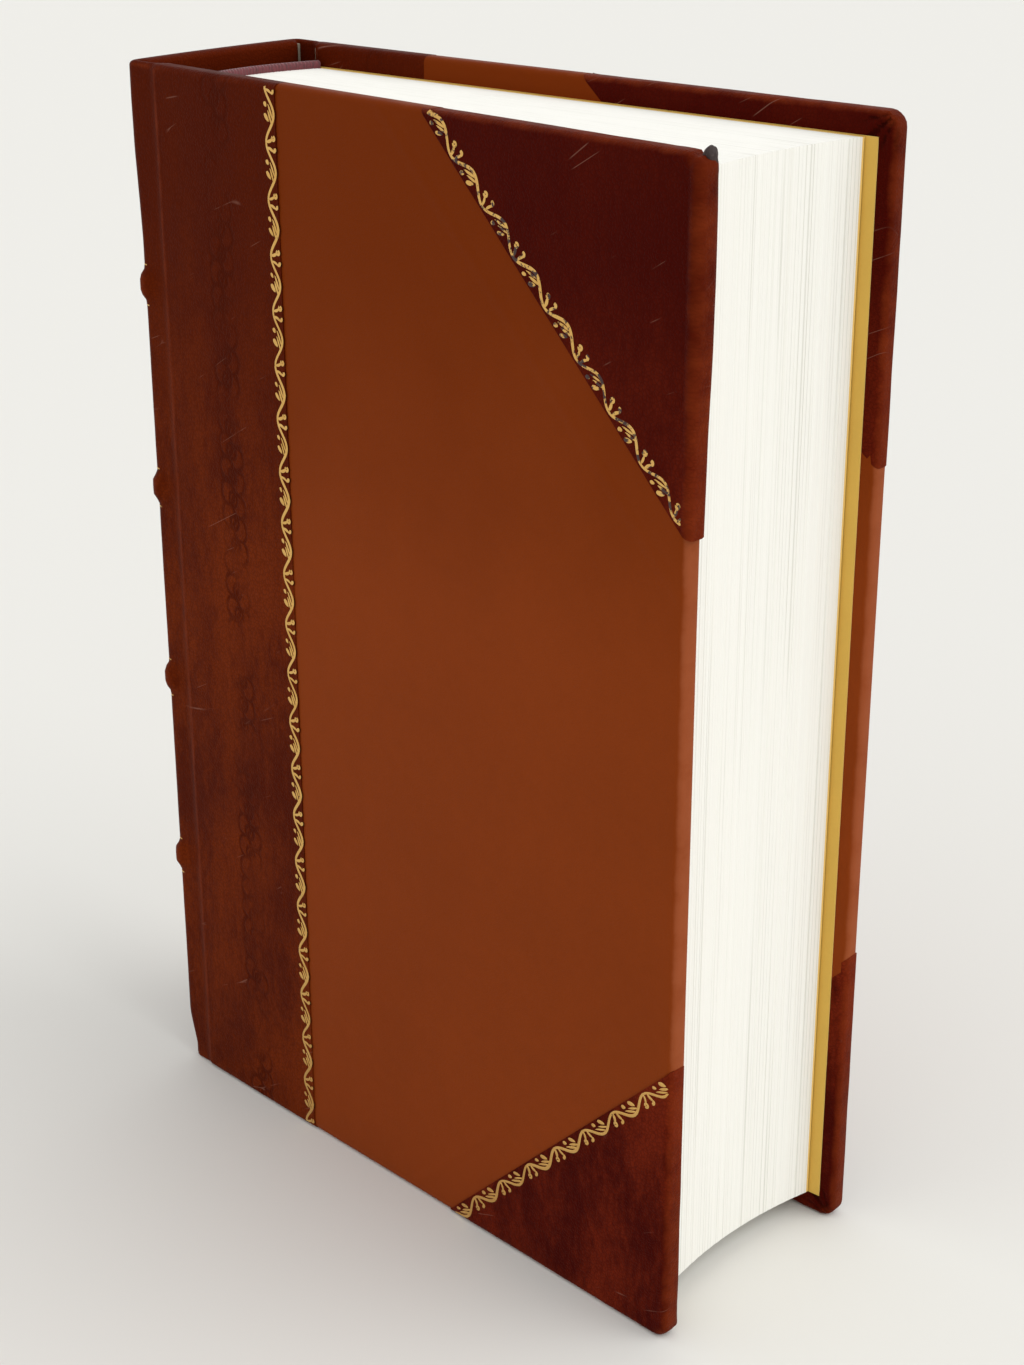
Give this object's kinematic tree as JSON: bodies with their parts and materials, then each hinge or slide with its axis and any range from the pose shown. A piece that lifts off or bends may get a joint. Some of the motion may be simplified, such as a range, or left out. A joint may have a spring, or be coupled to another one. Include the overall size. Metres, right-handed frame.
{
  "type": "leather bound book",
  "caption": "Thick upright book in a half-leather binding, with a hinged front and back cover, raised bands across the spine, leather corners and plain side panels.",
  "frame": {"origin": "middle of the book's footprint, on the plane it stands on at its tail", "axes": "+Z from tail to head, +X from the spine to the fore-edge, +Y from the front cover to the back cover"},
  "size_m": [0.154, 0.0596, 0.23],
  "materials": {
    "leather": "dark red-brown calf with a fine grain, satin, rubbed lighter along the edges",
    "side": "smooth plain brown bonded leather, satin",
    "board": "grey millboard, matte",
    "pages": "white book paper, matte, cut edges",
    "endpaper": "mustard yellow coloured paper, matte",
    "headband": "maroon woven band",
    "lining_cloth": "open-weave cotton, matte"
  },
  "bodies": {
    "block": {"text_block": "pages", "front_flyleaf": "endpaper", "back_flyleaf": "endpaper", "headband": "headband", "tailband": "headband", "spine_lining": "lining_cloth", "spine_stiffener": "board", "raised_band_1": "board", "raised_band_2": "board", "raised_band_3": "board", "raised_band_4": "board", "spine_leather": "leather"},
    "front_cover": {"front_board": "board", "front_leather_flap": "leather", "front_head_corner": "leather", "front_tail_corner": "leather", "front_side_panel": "side", "front_pastedown": "endpaper"},
    "back_cover": {"back_board": "board", "back_leather_flap": "leather", "back_head_corner": "leather", "back_tail_corner": "leather", "back_side_panel": "side", "back_pastedown": "endpaper"}
  },
  "joints": [
    {"name": "front_cover_hinge", "type": "hinge", "parent": "block", "child": "front_cover", "pos_m": [-0.066, -0.02365, 0.115], "axis": [0, 0, -1], "range_deg": [0, 175]},
    {"name": "back_cover_hinge", "type": "hinge", "parent": "block", "child": "back_cover", "pos_m": [-0.066, 0.02365, 0.115], "axis": [0, 0, 1], "range_deg": [0, 175]}
  ]
}
